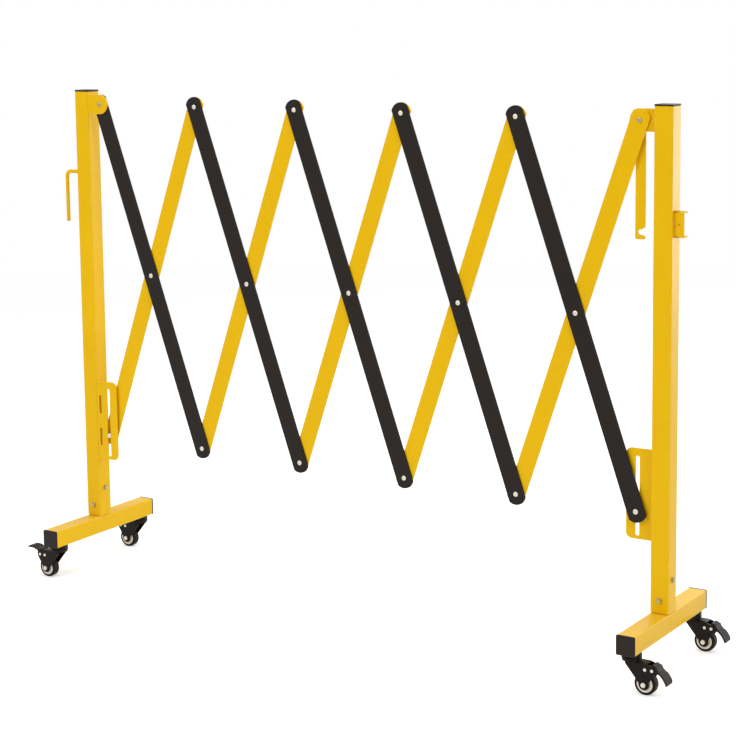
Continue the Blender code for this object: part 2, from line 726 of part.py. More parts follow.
def build():
    """The whole barricade as it stands in its rest pose."""
    for leftover in list(bpy.data.objects):
        bpy.data.objects.remove(leftover)
    looks = {
        "yellow": make_material("yellow_paint", (0.83, 0.50, 0.0), 0.38, 0.0),
        "black": make_material("black_paint", (0.031, 0.023, 0.019), 0.42, 0.0),
        "cap": make_material("black_plastic", (0.042, 0.034, 0.030), 0.5, 0.0),
        "zinc": make_material("zinc_plate", (0.72, 0.68, 0.60), 0.35, 1.0),
        "tyre": make_material("tyre_rubber", (0.018, 0.017, 0.016), 0.7, 0.0),
        "hub": make_material("hub_plastic", (0.72, 0.63, 0.48), 0.45, 0.0),
        "pedal": make_material("pedal_plastic", (0.060, 0.060, 0.062), 0.5, 0.0),
    }
    shapes = {
        "post": post_tube(), "base": base_beam(), "bolt": post_bolt(), "stem": caster_stem(),
        "post_cap": tube_cap(post_width, post_wall), "beam_cap": tube_cap(beam_width, beam_wall),
        "fork": caster_fork(), "axle": caster_axle(), "tyre": caster_tyre(), "hub": caster_hub(),
        "pedal": brake_pedal(),
    }
    first_x = -(lattice_width + pedal_reach(pedal_travel_deg) - pedal_reach(0)) / 2
    root = anchor("barricade", (first_x, 0, 0))
    right = anchor("right_frame", (lattice_width, 0, top_pivot_height), root)
    right_floor = anchor("right_frame_floor", (0, 0, -top_pivot_height), right)
    add_end_frame("left", root, -post_offset, shapes, looks)
    add_end_frame("right", right_floor, post_offset, shapes, looks)

    # Left fittings: ear and slotted bracket in the front layer, hook outside, pin through the ear
    place("left_top_ear", top_ear(1, front_layer), looks["yellow"], root, (0, 0, top_pivot_height))
    place("left_slot_bracket", slot_bracket(1, front_layer, front_layer + bracket_flange_depth), looks["yellow"],
          root)
    place("link_hook", coupling_hook(), looks["yellow"], root, (-post_offset, 0, 0))
    pin_back = strap_back + touch_gap
    left_pin = headed_pin(pin_head_radius, top_pin_radius, front_layer - touch_gap, pin_back,
                          (pin_head_radius, yellow_front, strap_front - touch_gap))
    place("top_pin_left", left_pin, looks["zinc"], root, (0, 0, top_pivot_height))

    # Right fittings: ear and slotted bracket behind the bars, receiver outside, latch strap on the pin
    place("right_top_ear", top_ear(-1, rear_layer), looks["yellow"], right)
    place("right_slot_bracket", slot_bracket(-1, rear_layer, rear_layer + bracket_flange_depth), looks["yellow"],
          right_floor)
    place("link_receiver", coupling_receiver(), looks["yellow"], right_floor, (post_offset, 0, 0))
    right_pin = headed_pin(pin_head_radius, top_pin_radius, yellow_front - touch_gap, pin_back)
    place("top_pin_right", right_pin, looks["zinc"], right)
    place("latch_strap", latch_strap(), looks["yellow"], right)

    # Lattice, and the pins that slide in the slots
    black_bars = [black_bar(i + 1, looks["black"], root) for i in range(crossing_count)]
    yellow_bars = [yellow_bar(i + 1, looks["yellow"], root) for i in range(crossing_count)]
    washer = slot_pin_radius + (pin_head_radius - slot_pin_radius) / 2
    left_slide = headed_pin(pin_head_radius, slot_pin_radius, front_layer - touch_gap, rear_layer,
                            (washer, black_front, black_back))
    place("slot_pin_left", left_slide, looks["zinc"], yellow_bars[0], (0, 0, -bar_pivot_length / 2))
    right_slide = headed_pin(pin_head_radius, slot_pin_radius, black_front - touch_gap, strap_front,
                             (washer, yellow_front, yellow_back))
    place("slot_pin_right", right_slide, looks["zinc"], black_bars[-1], (0, 0, -bar_pivot_length))


build()
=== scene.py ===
import json
import math

import bmesh
import bpy
from mathutils import Matrix, Vector


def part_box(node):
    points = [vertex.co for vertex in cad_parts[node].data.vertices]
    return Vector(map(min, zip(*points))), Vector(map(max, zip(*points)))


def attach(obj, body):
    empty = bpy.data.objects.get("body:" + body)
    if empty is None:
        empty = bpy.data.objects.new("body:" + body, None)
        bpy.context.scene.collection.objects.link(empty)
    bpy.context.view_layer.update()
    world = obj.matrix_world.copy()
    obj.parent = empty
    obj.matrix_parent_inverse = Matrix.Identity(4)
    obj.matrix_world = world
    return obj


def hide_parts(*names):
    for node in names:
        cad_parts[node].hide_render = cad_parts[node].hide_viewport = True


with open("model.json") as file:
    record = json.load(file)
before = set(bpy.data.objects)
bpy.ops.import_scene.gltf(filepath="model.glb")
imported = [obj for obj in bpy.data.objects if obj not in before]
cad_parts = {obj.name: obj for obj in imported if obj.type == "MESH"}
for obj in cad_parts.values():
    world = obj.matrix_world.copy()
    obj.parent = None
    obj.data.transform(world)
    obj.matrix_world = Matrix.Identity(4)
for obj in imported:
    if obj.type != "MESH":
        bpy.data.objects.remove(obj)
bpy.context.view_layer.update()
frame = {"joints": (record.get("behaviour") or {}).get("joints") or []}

# ---- Cross beams ----
# Square steel tube, one under each post, with a short spigot welded on top that the post slips over.
# Coated with a thick satin safety yellow powder that shows a fine orange peel.

beam_wall = 0.002
beam_corner = 0.0025
spigot_size = 0.031
coat_yellow = (0.835, 0.492, 0.0)
crease = math.radians(32)
flat_normal = 0.97
rgba_first, rgba_second, rgba_result = 6, 7, 2


def start_group(name, inputs):
    """New shader group with its named inputs and the three outputs that every skin here has."""
    group = bpy.data.node_groups.new(name, "ShaderNodeTree")
    for label, kind, value in inputs:
        socket = group.interface.new_socket(label, in_out="INPUT", socket_type="NodeSocket" + kind)
        socket.default_value = value
    for label, kind in (("Colour", "Color"), ("Roughness", "Float"), ("Normal", "Vector")):
        group.interface.new_socket(label, in_out="OUTPUT", socket_type="NodeSocket" + kind)
    given, out, place = (group.nodes.new(kind) for kind in
                         ("NodeGroupInput", "NodeGroupOutput", "ShaderNodeTexCoord"))
    return group, given, out, place


def add_noise(group, place, scale, detail=2):
    """Noise over the piece's own space."""
    noise = group.nodes.new("ShaderNodeTexNoise")
    noise.inputs["Scale"].default_value = scale
    noise.inputs["Detail"].default_value = detail
    group.links.new(place.outputs["Object"], noise.inputs["Vector"])
    return noise


def add_bump(group, height, out, distance):
    """Bump from a noise to the group's normal."""
    bump = group.nodes.new("ShaderNodeBump")
    bump.inputs["Distance"].default_value = distance
    group.links.new(height.outputs["Fac"], bump.inputs["Height"])
    group.links.new(bump.outputs["Normal"], out.inputs["Normal"])
    return bump


def add_range(group, source, low, high, to_low, to_high):
    """Noise stretched from one range to another."""
    stretch = group.nodes.new("ShaderNodeMapRange")
    for label, value in (("From Min", low), ("From Max", high), ("To Min", to_low), ("To Max", to_high)):
        stretch.inputs[label].default_value = value
    group.links.new(source.outputs["Fac"], stretch.inputs["Value"])
    return stretch


def add_tone(group, given, source, to_low, to_high):
    """The given colour made a little darker and lighter by a slow noise."""
    tone = add_range(group, source, low=0.3, high=0.7, to_low=to_low, to_high=to_high)
    toned = group.nodes.new("ShaderNodeVectorMath")
    toned.operation = "SCALE"
    group.links.new(given.outputs["Colour"], toned.inputs[0])
    group.links.new(tone.outputs["Result"], toned.inputs["Scale"])
    return toned


def add_gloss(group, given, source, out, drift=None):
    """The given roughness with a noise times the drift added to it."""
    gloss = group.nodes.new("ShaderNodeMath")
    gloss.operation = "MULTIPLY_ADD"
    group.links.new(source.outputs["Fac"], gloss.inputs[0])
    if drift is None:
        group.links.new(given.outputs["Gloss drift"], gloss.inputs[1])
    else:
        gloss.inputs[1].default_value = drift
    group.links.new(given.outputs["Roughness"], gloss.inputs[2])
    group.links.new(gloss.outputs["Value"], out.inputs["Roughness"])


def add_mix(group, factor, first, second, out):
    """Mix of two colours to the group's colour."""
    mixed = group.nodes.new("ShaderNodeMix")
    mixed.data_type = "RGBA"
    for source, socket in ((factor, "Factor"), (first, rgba_first), (second, rgba_second)):
        group.links.new(source, mixed.inputs[socket])
    group.links.new(mixed.outputs[rgba_result], out.inputs["Colour"])


def make_powder_coat():
    """Cured powder coat: a fine peel over the surface, a slow drift in tone, and a thinner film on edges."""
    group, given, out, place = start_group("powder_coat", (
        ("Colour", "Color", (0.8, 0.8, 0.8, 1)), ("Edge colour", "Color", (0.9, 0.9, 0.9, 1)),
        ("Gloss drift", "Float", 0.06), ("Roughness", "Float", 0.4), ("Peel", "Float", 0.12)))
    bump = add_bump(group, add_noise(group, place, scale=850), out, distance=0.0003)
    group.links.new(given.outputs["Peel"], bump.inputs["Strength"])
    drift = add_noise(group, place, scale=7, detail=5)
    toned = add_tone(group, given, drift, to_low=0.965, to_high=1.02)
    edge = group.nodes.new("ShaderNodeAttribute")
    edge.attribute_name = "edge"
    wear = add_noise(group, place, scale=60, detail=4)
    rubbed = add_range(group, wear, low=0.42, high=0.62, to_low=0, to_high=0.55)
    thin = group.nodes.new("ShaderNodeMath")
    thin.operation = "MULTIPLY"
    group.links.new(edge.outputs["Fac"], thin.inputs[0])
    group.links.new(rubbed.outputs["Result"], thin.inputs[1])
    add_mix(group, thin.outputs["Value"], toned.outputs["Vector"], given.outputs["Edge colour"], out)
    add_gloss(group, given, drift, out)
    return group


powder_coat = make_powder_coat()


def skin_material(name, group, values, constants):
    """Material with a skin group's outputs on its shader, and the shader's own constants."""
    material = bpy.data.materials.new(name)
    material.use_nodes = True
    nodes, links = material.node_tree.nodes, material.node_tree.links
    shader = nodes["Principled BSDF"]
    for label, value in constants.items():
        shader.inputs[label].default_value = value
    skin = nodes.new("ShaderNodeGroup")
    skin.node_tree = group
    for label, value in values.items():
        skin.inputs[label].default_value = value
    for label, target in (("Colour", "Base Color"), ("Roughness", "Roughness"), ("Normal", "Normal")):
        links.new(skin.outputs[label], shader.inputs[target])
    return material


def coated(name, colour, edge_colour, roughness, peel, specular, bloom=0.0):
    """Material of a powder coated steel piece; bloom is the pale veil seen at a flat angle."""
    return skin_material(
        name, powder_coat,
        {"Colour": (*colour, 1), "Edge colour": (*edge_colour, 1), "Roughness": roughness, "Peel": peel},
        {"Specular IOR Level": specular, "Sheen Weight": bloom, "Sheen Roughness": 0.35,
         "Sheen Tint": (1.0, 0.93, 0.78, 1)})


yellow_coat = coated("yellow_powder_coat", coat_yellow, (0.90, 0.58, 0.05), 0.30, 0.16, 0.12, 0.22)


def arc(centre, radius, start_deg, end_deg, steps):
    """Points along an arc, both ends included."""
    points = []
    for i in range(steps + 1):
        angle = math.radians(start_deg + (end_deg - start_deg) * i / steps)
        points.append((centre[0] + radius * math.cos(angle), centre[1] + radius * math.sin(angle)))
    return points


def round_square(size, corner):
    """Square outline round the origin with rounded corners."""
    inset = size / 2 - corner
    points = []
    for quarter, (x, y) in enumerate(((1, -1), (1, 1), (-1, 1), (-1, -1))):
        points += arc((x * inset, y * inset), corner, -90 + 90 * quarter, 90 * quarter, 5)
    return points


def at_levels(rows):
    """Rounded squares from size, corner and height."""
    return [[(x, y, z) for x, y in round_square(size, corner)] for size, corner, z in rows]


def bridged(loops, closed=False, capped=False):
    """Skin through loops with the same number of points, closed on itself or capped at both ends."""
    shape = bmesh.new()
    rows = [[shape.verts.new(point) for point in loop] for loop in loops]
    pairs = list(zip(rows, rows[1:]))
    if closed:
        pairs.append((rows[-1], rows[0]))
    for lower, upper in pairs:
        for i in range(len(lower)):
            shape.faces.new((lower[i - 1], lower[i], upper[i], upper[i - 1]))
    if capped:
        shape.faces.new(rows[0])
        shape.faces.new(rows[-1])
    bmesh.ops.recalc_face_normals(shape, faces=shape.faces)
    mesh = bpy.data.meshes.new("skin")
    shape.to_mesh(mesh)
    shape.free()
    return mesh


def tube_skin(size, wall, corner, start, end):
    """Square tube along Z with a small break on its end edges."""
    break_edge = wall / 5
    return bridged(at_levels((
        (size - 2 * break_edge, corner, start), (size, corner, start + break_edge),
        (size, corner, end - break_edge), (size - 2 * break_edge, corner, end),
        (size - 2 * wall, corner / 2, end), (size - 2 * wall, corner / 2, start))), closed=True)


def joined(meshes):
    """One mesh from several that share a space."""
    shape = bmesh.new()
    for mesh in meshes:
        shape.from_mesh(mesh)
    mesh = bpy.data.meshes.new("joined")
    shape.to_mesh(mesh)
    shape.free()
    return mesh


def turned_about(mesh, angle_deg, axis, move=(0, 0, 0)):
    """The mesh turned about an axis through the origin, and then moved."""
    mesh.transform(Matrix.Translation(move) @ Matrix.Rotation(math.radians(angle_deg), 4, axis))
    return mesh


def put(name, mesh, material, body, nodes=(), place=Matrix()):
    """Finished piece on its body: smooth shaded, its bevelled edges marked, standing for its CAD nodes."""
    mesh = mesh.copy()
    mesh.name = name
    mark = mesh.attributes.new("edge", "FLOAT", "FACE")
    for face, value in zip(mesh.polygons, mark.data):
        normal = face.normal
        value.value = 1.0 if max(abs(normal.x), abs(normal.y), abs(normal.z)) < flat_normal else 0.0
    mesh.transform(place)
    mesh.materials.append(material)
    mesh.shade_smooth()
    mesh.set_sharp_from_angle(angle=crease)
    piece = bpy.data.objects.new(name, mesh)
    bpy.context.scene.collection.objects.link(piece)
    even = piece.modifiers.new("Even normals", "WEIGHTED_NORMAL")
    even.keep_sharp = True
    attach(piece, body)
    if nodes:
        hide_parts(*nodes)
    return piece


sides = ("left", "right")
beam_size = {}
for side in sides:
    low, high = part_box(side + "_base")
    width = high.x - low.x
    half_length = (high.y - low.y) / 2
    middle = ((low.x + high.x) / 2, 0, low.z + width / 2)
    beam_size[side] = (width, half_length, middle)
    tube = turned_about(tube_skin(width, beam_wall, beam_corner, -half_length, half_length), 90, "X")
    spigot = tube_skin(spigot_size, beam_wall, beam_corner / 2, width / 2 - beam_wall / 2, high.z - middle[2])
    put(side + "_beam", joined([tube, spigot]), yellow_coat, side + "_frame",
        [side + "_base"], Matrix.Translation(middle))

# ---- Beam and post caps ----
# Black moulded plastic plugs that are pressed into the tube ends. A thin plate with a rounded rim shows,
# and ribbed walls inside the tube hold it.

cap_rim = 0.0009
cap_seat = 0.0003
plug_play = 0.002
rib_count = 3
rib_rise = 0.0003
ends = ("front", "rear")


def make_moulded():
    """Moulded plastic skin: a fine spark-eroded grain and a slow change of gloss."""
    group, given, out, place = start_group("moulded_grain", (
        ("Colour", "Color", (0.1, 0.1, 0.1, 1)), ("Grain size", "Float", 1500),
        ("Grain", "Float", 0.3), ("Roughness", "Float", 0.5)))
    grain = add_noise(group, place, scale=1500, detail=3)
    group.links.new(given.outputs["Grain size"], grain.inputs["Scale"])
    bump = add_bump(group, grain, out, distance=0.0002)
    group.links.new(given.outputs["Grain"], bump.inputs["Strength"])
    cloud = add_noise(group, place, scale=45, detail=3)
    toned = add_tone(group, given, cloud, to_low=0.9, to_high=1.12)
    group.links.new(toned.outputs["Vector"], out.inputs["Colour"])
    add_gloss(group, given, cloud, out, drift=0.12)
    return group


moulded_grain = make_moulded()


def moulded(name, colour, roughness, grain_size, grain, specular=0.5):
    """Material of a moulded plastic or rubber piece."""
    return skin_material(
        name, moulded_grain,
        {"Colour": (*colour, 1), "Roughness": roughness, "Grain size": grain_size, "Grain": grain},
        {"Specular IOR Level": specular})


cap_plastic = moulded("cap_plastic", (0.0155, 0.0105, 0.0082), 0.42, 1400, 0.25, 0.18)


def cap_skin(size, tube_wall, depth, plate):
    """Cap along Z, its plate's seat at 0: a ribbed plug below and a plate with a rounded rim above."""
    plug = size - 2 * tube_wall - plug_play
    loops = []
    for i in range(rib_count * 2 + 1):
        swell = rib_rise * 2 if i % 2 else 0
        loops.append((plug + swell, beam_corner / 2, -depth + depth * i / (rib_count * 2 + 1)))
    loops += [(plug, beam_corner / 2, 0), (size - cap_rim, beam_corner, 0), (size, beam_corner, cap_rim / 2)]
    for i in range(5):
        angle = math.radians(90 * i / 4)
        inset = cap_rim * (1 - math.cos(angle))
        loops.append((size - 2 * inset, beam_corner, plate - cap_rim + cap_rim * math.sin(angle)))
    return bridged(at_levels(loops), capped=True)


for side in sides:
    width, half_length, middle = beam_size[side]
    for end, way in zip(ends, (-1, 1)):
        low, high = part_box("%s_base_cap_%s" % (side, end))
        face_y = low.y if way < 0 else high.y
        seat_y = way * half_length
        plate = abs(face_y - seat_y) - cap_seat
        depth = high.y - low.y - plate
        mesh = turned_about(cap_skin(high.x - low.x, beam_wall, depth, plate), -90 * way, "X")
        put("%s_beam_cap_%s" % (side, end), mesh, cap_plastic, side + "_frame",
            ["%s_base_cap_%s" % (side, end)],
            Matrix.Translation((middle[0], seat_y + way * cap_seat, middle[2])))

# ---- Posts ----
# Square steel tube that stands on the beam over the spigot, coated like the beams, with a plastic cap on
# top. A hex bolt through the front face and one through the right side face hold it on the spigot.

post_wall = 0.0015
foot_gap = 0.0010
bolt_chamfer = 0.0006
bolt_radius = 0.003
head_height = 0.0038
head_share = 0.88
washer_share = 0.96
washer_step = 0.0004
washer_top = 0.0008
washer_fit = 0.0005


def make_plated():
    """Zinc plate: pale metal with soft blotches of yellow passivation and fine turning marks."""
    group, given, out, place = start_group("zinc_plate", (
        ("Colour", "Color", (0.7, 0.7, 0.7, 1)), ("Tint", "Color", (0.75, 0.7, 0.55, 1)),
        ("Roughness", "Float", 0.35)))
    blotch = add_noise(group, place, scale=260, detail=4)
    add_mix(group, blotch.outputs["Fac"], given.outputs["Colour"], given.outputs["Tint"], out)
    add_gloss(group, given, blotch, out, drift=0.18)
    bump = add_bump(group, add_noise(group, place, scale=2600), out, distance=0.0001)
    bump.inputs["Strength"].default_value = 0.25
    return group


plated_skin = make_plated()


def plated(name, colour, tint, roughness, metallic):
    """Material of a plated steel fastener."""
    return skin_material(
        name, plated_skin, {"Colour": (*colour, 1), "Tint": (*tint, 1), "Roughness": roughness},
        {"Metallic": metallic})


bolt_zinc = plated("bolt_zinc", (0.38, 0.30, 0.11), (0.46, 0.39, 0.18), 0.28, 0.8)


def moved(mesh, x=0, y=0, z=0):
    """The mesh moved along the three axes."""
    mesh.transform(Matrix.Translation((x, y, z)))
    return mesh


def hex_skin(radius, height):
    """Hex head along Z from 0, with the corners of its top turned off and a shallow dish."""
    loops = []
    for share, level in ((1, 0), (1, height - bolt_chamfer), (head_share, height), (0.62, height),
                         (0.5, height - bolt_chamfer / 3), (0.2, height - bolt_chamfer / 3)):
        loop = []
        for i in range(48):
            angle = math.tau * i / 48
            flat = radius * math.cos(math.pi / 6) / math.cos((angle % (math.pi / 3)) - math.pi / 6)
            reach = flat if share == 1 else radius * share
            loop.append((reach * math.cos(angle), reach * math.sin(angle), level))
        loops.append(loop)
    return bridged(loops, capped=True)


def circle(radius, steps, centre=(0, 0)):
    """Points once round a circle."""
    return arc(centre, radius, 0, 360, steps)[:-1]


def turned_loops(profile, steps):
    """Circles about Z from radius and height pairs."""
    return [[(x, y, height) for x, y in circle(radius, steps)] for radius, height in profile]


def disc_skin(profile, steps=40):
    """Turned shape about Z from radius and height pairs, with flat ends."""
    return bridged(turned_loops(profile, steps), capped=True)


for side in sides:
    low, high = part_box(side + "_post")
    centre = ((low.x + high.x) / 2, 0, 0)
    mesh = tube_skin(high.x - low.x, post_wall, beam_corner, low.z + foot_gap, high.z)
    put(side + "_upright", mesh, yellow_coat, side + "_frame", [side + "_post"],
        Matrix.Translation(centre))
    low_cap, high_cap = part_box(side + "_post_cap")
    plate = high_cap.z - high.z - cap_seat
    mesh = cap_skin(high_cap.x - low_cap.x, post_wall, high.z - low_cap.z, plate)
    put(side + "_upright_cap", mesh, cap_plastic, side + "_frame", [side + "_post_cap"],
        Matrix.Translation((centre[0], 0, high.z + cap_seat)))
    for end, axis in (("front", "X"), ("side", "Y")):
        low_bolt, high_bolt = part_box("%s_post_bolt_%s" % (side, end))
        middle = (low_bolt + high_bolt) / 2
        if end == "front":
            grip = high_bolt.y - low_bolt.y - head_height
            radius = (high_bolt.x - low_bolt.x) / 2
            seat = Vector((middle.x, low_bolt.y + head_height, middle.z))
        else:
            grip = high_bolt.x - low_bolt.x - head_height
            radius = (high_bolt.y - low_bolt.y) / 2
            seat = Vector((high_bolt.x - head_height, middle.y, middle.z))
        shank = disc_skin([(bolt_radius, -grip), (bolt_radius, washer_fit)], 24)
        washer = disc_skin([(radius * washer_share, 0), (radius * washer_share, washer_fit),
                            (radius * head_share, washer_top)])
        head = moved(hex_skin(radius * head_share, head_height - washer_step), z=washer_step)
        put("%s_bolt_%s" % (side, end), joined([shank, washer, head]), bolt_zinc, side + "_frame",
            ["%s_post_bolt_%s" % (side, end)],
            Matrix.Translation(seat) @ Matrix.Rotation(math.radians(90), 4, axis))

# ---- Top ears and slotted brackets ----
# Laser cut 3 mm steel, welded to the inner faces of the posts and coated with them. The left pair stands
# in front of the bars and the right pair behind them; the brackets are angles with a long guide slot.
# The left bracket has two shallow recesses beside its slot, their floors covered by thin sheets of a darker
# yellow that paints the shade inside them.

joint_place = {joint["name"]: Vector(joint["pos_m"]) for joint in frame["joints"]}
sheet_edge = 0.00045
sheet_thickness = 0.003
ear_radius = 0.020
top_pin_radius = 0.004
pin_play = 0.0002
slot_half = 0.004
slot_foot, slot_head = 0.006, 0.014
bracket_corner = 0.011
flange_inset, flange_step = 0.003, 0.001
web_edge = 0.0004
bead_radius = 0.0013
bead_step = 0.0009
ripple_pitch = 0.0016
ear_bead_out = 0.0004
stitch_in = 0.0008
stitch_length = 0.024
stitch_shares = (0.16, 0.5, 0.84)
relief_half = 0.0030
relief_inset = 0.0085
relief_shares = ((0.17, 0.40), (0.58, 0.82))
relief_floor = 0.0008
relief_sheet = 0.0003
relief_lift = 0.0004
fine_edge = 0.0001
# Darker yellow that paints the shade deep inside the left bracket's recesses.
recess_shade_coat = coated("painted_shade_powder_coat", (0.46, 0.185, 0.0), (0.50, 0.22, 0.0), 0.45, 0.16, 0.10)


def long_hole(x, low, high, half, steps):
    """Outline of an upright slot with round ends."""
    return arc((x, high - half), half, 0, 180, steps) + arc((x, low + half), half, 180, 360, steps)


def signed_area(loop):
    """Twice the area inside a loop, positive where it runs anticlockwise."""
    return sum(x0 * y1 - x1 * y0 for (x0, y0), (x1, y1) in zip(loop, loop[1:] + loop[:1]))


def sheet_skin(outline, holes, thickness, softness=sheet_edge):
    """Flat sheet cut to an outline in X and Z, its front face at Y 0, with rounded cut edges."""
    cut = bpy.data.curves.new("cut", "CURVE")
    cut.dimensions = "2D"
    cut.fill_mode = "BOTH"
    cut.extrude = thickness / 2 - softness
    cut.bevel_depth = softness
    cut.bevel_resolution = 2
    cut.offset = -softness
    for number, loop in enumerate([outline] + holes):
        if (signed_area(loop) > 0) != (number == 0):
            loop = loop[::-1]
        line = cut.splines.new("POLY")
        line.points.add(len(loop) - 1)
        for point, (x, z) in zip(line.points, loop):
            point.co = (x, z, 0, 1)
        line.use_cyclic_u = True
    holder = bpy.data.objects.new("cut", cut)
    bpy.context.scene.collection.objects.link(holder)
    mesh = bpy.data.meshes.new_from_object(holder.evaluated_get(bpy.context.evaluated_depsgraph_get()))
    bpy.data.objects.remove(holder)
    shape = bmesh.new()
    shape.from_mesh(mesh)
    bmesh.ops.remove_doubles(shape, verts=shape.verts, dist=0.000002)
    bmesh.ops.recalc_face_normals(shape, faces=shape.faces)
    shape.to_mesh(mesh)
    shape.free()
    return turned_about(mesh, 90, "X", (0, thickness / 2, 0))


def weld_skin(length):
    """Weld bead along Z round the origin, in overlapping ripples that taper at both ends."""
    steps = max(int(length / bead_step), 8)
    loops = []
    for i in range(steps + 1):
        share = i / steps
        ripple = 1 + 0.12 * abs(math.sin(share * length / ripple_pitch * math.pi))
        taper = min(1, 0.25 + 4 * min(share, 1 - share))
        loops.append((bead_radius * ripple * taper, (share - 0.5) * length))
    return disc_skin(loops, 10)


for side, way in zip(sides, (1, -1)):
    low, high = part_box(side + "_top_ear")
    pivot = joint_place["lattice_fold" if side == "left" else "latch_swing"]
    root = (low.x if way > 0 else high.x) - pivot.x
    outline = [(root, -ear_radius)] + [(way * x, z) for x, z in arc((0, 0), ear_radius, -90, 90, 28)]
    outline += [(root, ear_radius)]
    ear = sheet_skin(outline, [circle(top_pin_radius + pin_play, 32)], high.y - low.y)
    bead = moved(weld_skin(2 * ear_radius - 0.003), root + way * ear_bead_out, high.y - low.y + ear_bead_out)
    put(side + "_ear", joined([ear, bead]), yellow_coat, side + "_frame",
        [side + "_top_ear"], Matrix.Translation((pivot.x, low.y, pivot.z)))

    low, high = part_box(side + "_slot_bracket")
    tall = high.z - low.z
    root = (low.x if way > 0 else high.x) - pivot.x
    reach = (high.x if way > 0 else low.x) - pivot.x
    corner_x = abs(reach) - bracket_corner
    lower = arc((corner_x, low.z + bracket_corner), bracket_corner, -90, 0, 10)
    upper = arc((corner_x, high.z - bracket_corner), bracket_corner, 0, 90, 10)
    outline = [(root, low.z)] + [(way * x, z) for x, z in lower + upper] + [(root, high.z)]
    slot = long_hole(0, low.z + slot_foot, high.z - slot_head, slot_half, 16)
    flange_low, flange_high = low.z + flange_inset, high.z - flange_inset
    flange_reach = high.y - low.y - flange_step
    flange = sheet_skin([(0, flange_low), (flange_reach, flange_low), (flange_reach, flange_high),
                         (0, flange_high)], [], sheet_thickness)
    flange = turned_about(flange, 90, "Z", (root + (sheet_thickness if way > 0 else 0), flange_step, 0))
    if side == "left":
        reliefs = [long_hole(root + way * relief_inset, low.z + tall * low_share, low.z + tall * high_share,
                             relief_half, 8) for low_share, high_share in relief_shares]
        recess_y = sheet_thickness - relief_floor
        web = [sheet_skin(outline, [slot] + reliefs, recess_y, web_edge),
               moved(sheet_skin(outline, [slot], relief_floor, fine_edge), y=recess_y)]
        # Thin sheets in the darker yellow on the recess floors: painted shade.
        shade_floors = [sheet_skin(relief, [], relief_sheet, fine_edge) for relief in reliefs]
        put("left_bracket_relief_shade", joined(shade_floors), recess_shade_coat, "left_frame",
            place=Matrix.Translation((pivot.x, low.y + recess_y - relief_lift, 0)))
    else:
        web = [sheet_skin(outline, [slot], sheet_thickness, web_edge)]
    beads = [moved(weld_skin(stitch_length), root + way * stitch_in, high.y - low.y - stitch_in,
                   low.z + tall * share) for share in stitch_shares]
    put(side + "_bracket", joined(web + [flange] + beads), yellow_coat, side + "_frame",
        [side + "_slot_bracket"], Matrix.Translation((pivot.x, low.y, 0)))

# ---- Coupling hook and receiver ----
# An 8 mm round bar bent over and welded to the left post's outer face, and a bent channel on the right
# post's outer face. The hook of one barricade drops through the channel's holes of the next.

rod_radius = 0.004
rod_steps = 28
bend_radius = 0.010
tip_length, tip_chamfer = 0.0015, 0.0012
low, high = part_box("link_hook")
arm_height = high.z - rod_radius
leg_x = low.x + rod_radius
path = [(high.x, arm_height), (leg_x + bend_radius, arm_height)]
path += arc((leg_x + bend_radius, arm_height - bend_radius), bend_radius, 90, 180, 14)[1:]
path += [(leg_x, low.z + tip_length)]
loops = []
for i, (x, z) in enumerate(path):
    before, after = path[max(i - 1, 0)], path[min(i + 1, len(path) - 1)]
    run = Vector((after[0] - before[0], 0, after[1] - before[1])).normalized()
    across = Vector((run.z, 0, -run.x))
    loops.append([Vector((x, v, z)) + across * u for u, v in circle(rod_radius, rod_steps)])
loops.append([Vector((leg_x, v, low.z)) + Vector((u, 0, 0)) for u, v in
              arc((0, 0), rod_radius - tip_chamfer, 180, -180, rod_steps)[:-1]])
hook = bridged(loops, capped=True)
weld_profile = [(rod_radius + swell, level) for swell, level in
                ((0, 0), (0.0016, 0.0002), (0.0012, 0.0012), (0, 0.0026))]
weld_ring = turned_about(disc_skin(weld_profile, rod_steps), -90, "Y", (high.x, 0, arm_height))
put("coupling_hook", joined([hook, weld_ring]), yellow_coat, "left_frame", ["link_hook"])

receiver_plate = 0.0025
receiver_floor = 0.0004
notch_half, notch_depth = 0.0045, 0.003
pilot_radius = 0.0020
socket_play = 0.001
low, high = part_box("link_receiver")
reach, depth, height = high.x - low.x, high.y - low.y, high.z - low.z
corners = [(0, 0), (reach, 0), (reach, height), (0, height)]
notch = [(0, height / 2 + notch_half), (notch_depth, height / 2 + notch_half),
         (notch_depth, height / 2 - notch_half), (0, height / 2 - notch_half)]
pilot = circle(pilot_radius, 20, (reach / 2, height / 2))
web = sheet_skin(corners + notch, [pilot], receiver_plate - receiver_floor)
web_floor = moved(sheet_skin(corners, [], receiver_floor, fine_edge), y=receiver_plate - receiver_floor)
flange_outline = [(0, 0)] + [(reach / 2 + x * reach / 2, receiver_plate + y * (depth - receiver_plate))
                             for x, y in arc((0, 0), 1, 0, 90, 16)] + [(0, depth)]
socket = circle(rod_radius + socket_play, 32, (reach / 2, depth / 2))
bottom = turned_about(sheet_skin(flange_outline, [socket], receiver_plate), -90, "X")
# The mirror turns the outline round, so the curve is behind the web and the rear edge is the widest.
bottom.transform(Matrix.Scale(-1, 4, (0, 1, 0)))
bottom.flip_normals()
low_y, low_z = (min(vertex.co[axis] for vertex in bottom.vertices) for axis in (1, 2))
flanges = []
for level in (0, height - receiver_plate):
    flange = bottom.copy()
    flange.transform(Matrix.Translation((0, -low_y, level)) @ Matrix.Translation((0, 0, -low_z)))
    flanges.append(flange)
put("coupling_receiver", joined([web, web_floor] + flanges), yellow_coat, "right_frame",
    ["link_receiver"], Matrix.Translation((low.x, low.y, low.z)))

# ---- Lattice bars ----
# Ten flat steel bars, 35 by 3 mm, with shallow curved ends. The five in front are coated black and the
# five behind them yellow; each crosses its neighbours at a middle rivet and two end rivets.

